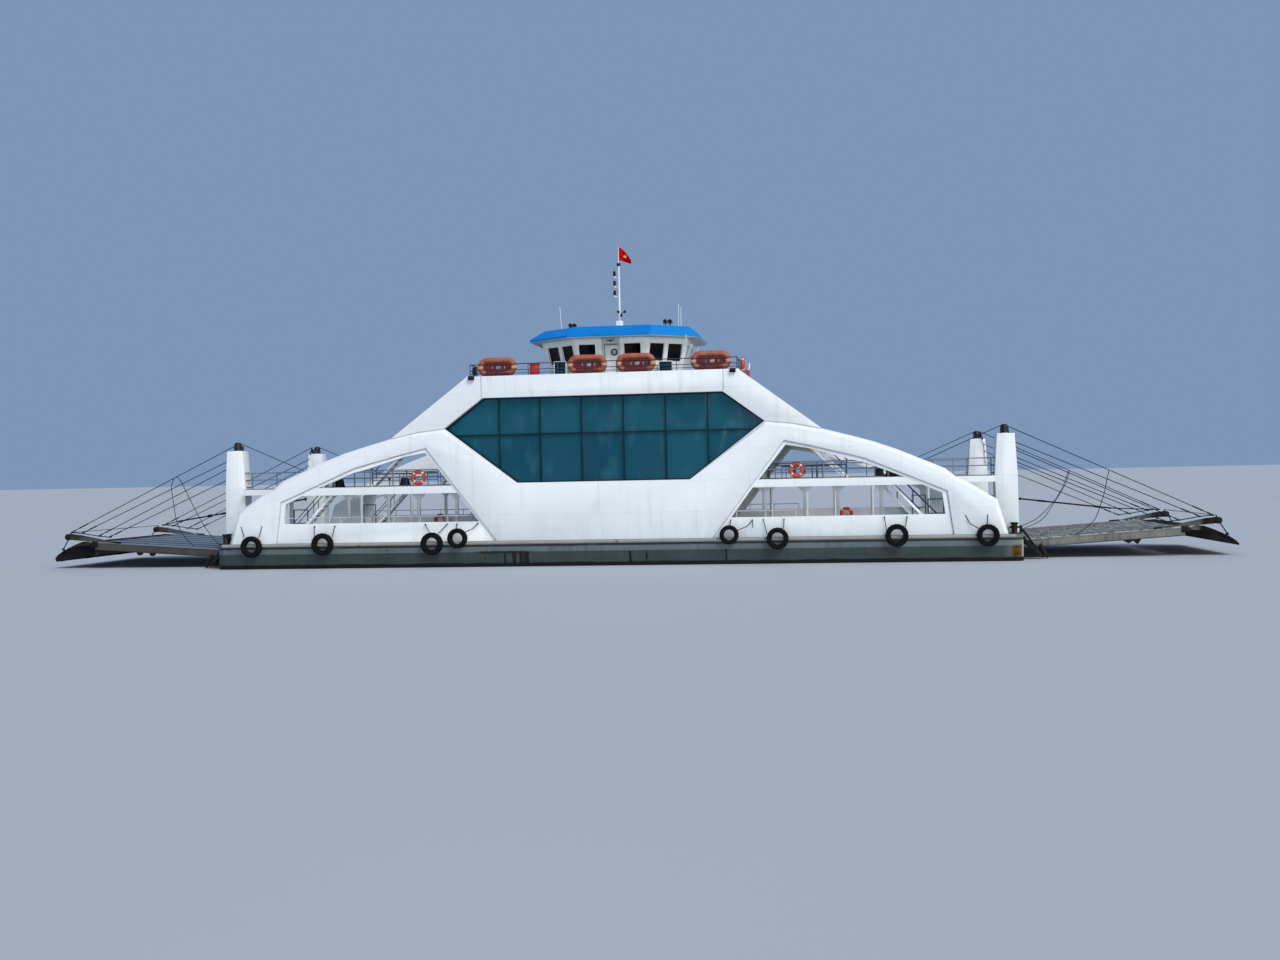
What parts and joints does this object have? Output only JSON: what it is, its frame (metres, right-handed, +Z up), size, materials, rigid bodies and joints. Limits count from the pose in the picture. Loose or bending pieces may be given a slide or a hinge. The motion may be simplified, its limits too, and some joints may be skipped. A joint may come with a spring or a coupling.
{
  "type": "double-ended car ferry, 1:2 scale model",
  "caption": "Double-ended car ferry with arched open sides, glazed lounge over the lane, wheelhouse and a hoisted boarding ramp at each end.",
  "frame": {"origin": "amidships on the centre line, at the waterline", "axes": "+X along the ship to its fore end, +Y to port, +Z up"},
  "size_m": [30.3394, 7.3606, 9.13],
  "materials": {
    "hull": "weathered grey hull paint",
    "white": "white ship enamel with faint streaks",
    "glass": "dark teal tinted glazing",
    "blue": "bright blue roof paint",
    "orange": "sun-faded orange",
    "flag": "red bunting",
    "rubber": "old black rubber",
    "ramp_steel": "worn grey deck paint with rust",
    "dark_steel": "dark greasy steel with rust",
    "wire": "greased wire rope",
    "deck": "grey-green deck paint",
    "bronze": "dull bronze",
    "seat": "moulded blue seating"
  },
  "bodies": {
    "ship": {"hull": "hull", "fender_line_starboard": "rubber", "fender_line_port": "rubber", "side_wall_starboard": "white", "side_wall_port": "white", "lounge_side_starboard": "white", "lounge_side_port": "white", "lounge_glass_starboard": "glass", "lounge_glass_port": "glass", "opening_frame_fore_starboard": "white", "opening_frame_fore_port": "white", "opening_frame_aft_starboard": "white", "opening_frame_aft_port": "white", "lounge_floor": "white", "lounge_seats": "seat", "lounge_end_fore": "white", "lounge_end_aft": "white", "bridge_deck": "deck", "bridge_rail": "white", "casing_starboard": "white", "casing_port": "white", "walkway_fore_starboard": "white", "walkway_fore_port": "white", "walkway_aft_starboard": "white", "walkway_aft_port": "white", "stairs_fore_starboard": "deck", "stairs_fore_port": "deck", "stairs_aft_starboard": "deck", "stairs_aft_port": "deck", "tower_fore_starboard": "white", "tower_fore_port": "white", "tower_aft_starboard": "white", "tower_aft_port": "white", "winch_fore_starboard": "dark_steel", "winch_fore_port": "dark_steel", "winch_aft_starboard": "dark_steel", "winch_aft_port": "dark_steel", "wheelhouse": "white", "wheelhouse_glass": "glass", "wheelhouse_roof": "blue", "mast": "white", "flag": "flag", "life_floats_starboard": "orange", "life_floats_port": "orange"},
    "ramp_fore": {"ramp_fore": "ramp_steel"},
    "ramp_aft": {"ramp_aft": "ramp_steel"},
    "flap_fore": {"ramp_flap_fore": "dark_steel"},
    "flap_aft": {"ramp_flap_aft": "dark_steel"},
    "hoist_fore": {"hoist_wires_fore_starboard": "wire", "hoist_wires_fore_port": "wire"},
    "hoist_aft": {"hoist_wires_aft_starboard": "wire", "hoist_wires_aft_port": "wire"},
    "door_starboard": {"wheelhouse_door_starboard": "white"},
    "door_port": {"wheelhouse_door_port": "white"},
    "propeller_fore": {"propeller_fore": "bronze"},
    "propeller_aft": {"propeller_aft": "bronze"},
    "rudder_fore": {"rudder_fore": "hull"},
    "rudder_aft": {"rudder_aft": "hull"}
  },
  "joints": [
    {"name": "ramp_fore_hinge", "type": "hinge", "parent": "ship", "child": "ramp_fore", "pos_m": [10.15, 0, 0.375], "axis": [0, -1, 0], "range_deg": [-12, 30]},
    {"name": "ramp_aft_hinge", "type": "hinge", "parent": "ship", "child": "ramp_aft", "pos_m": [-10.15, 0, 0.375], "axis": [0, 1, 0], "range_deg": [-12, 30]},
    {"name": "flap_fore_hinge", "type": "hinge", "parent": "ramp_fore", "child": "flap_fore", "pos_m": [13.94189, 0, 0.62338], "axis": [0, -1, 0], "range_deg": [-25, 28]},
    {"name": "flap_aft_hinge", "type": "hinge", "parent": "ramp_aft", "child": "flap_aft", "pos_m": [-13.94189, 0, 0.62338], "axis": [0, 1, 0], "range_deg": [-25, 28]},
    {"name": "hoist_fore_pivot", "type": "hinge", "parent": "ship", "child": "hoist_fore", "pos_m": [9.75, 0, 3.125], "axis": [0, -1, 0], "range_deg": [-10, 25]},
    {"name": "hoist_aft_pivot", "type": "hinge", "parent": "ship", "child": "hoist_aft", "pos_m": [-9.75, 0, 3.125], "axis": [0, 1, 0], "range_deg": [-10, 25]},
    {"name": "door_starboard_hinge", "type": "hinge", "parent": "ship", "child": "door_starboard", "pos_m": [-0.1776, -1.505, 5], "axis": [0, 0, -1], "range_deg": [0, 85]},
    {"name": "door_port_hinge", "type": "hinge", "parent": "ship", "child": "door_port", "pos_m": [0.1776, 1.505, 5], "axis": [0, 0, -1], "range_deg": [0, 85]},
    {"name": "propeller_fore_spin", "type": "hinge", "parent": "ship", "child": "propeller_fore", "pos_m": [8.75, 0, -0.55], "axis": [1, 0, 0], "continuous": true},
    {"name": "propeller_aft_spin", "type": "hinge", "parent": "ship", "child": "propeller_aft", "pos_m": [-8.75, 0, -0.55], "axis": [-1, 0, 0], "continuous": true},
    {"name": "rudder_fore_turn", "type": "hinge", "parent": "ship", "child": "rudder_fore", "pos_m": [9.2, 0, -0.5], "axis": [0, 0, 1], "range_deg": [-35, 35]},
    {"name": "rudder_aft_turn", "type": "hinge", "parent": "ship", "child": "rudder_aft", "pos_m": [-9.2, 0, -0.5], "axis": [0, 0, 1], "range_deg": [-35, 35]}
  ],
  "couplings": [
    {"joint": "hoist_fore_pivot", "follows": "ramp_fore_hinge", "ratio": 0.81},
    {"joint": "hoist_aft_pivot", "follows": "ramp_aft_hinge", "ratio": 0.81}
  ]
}
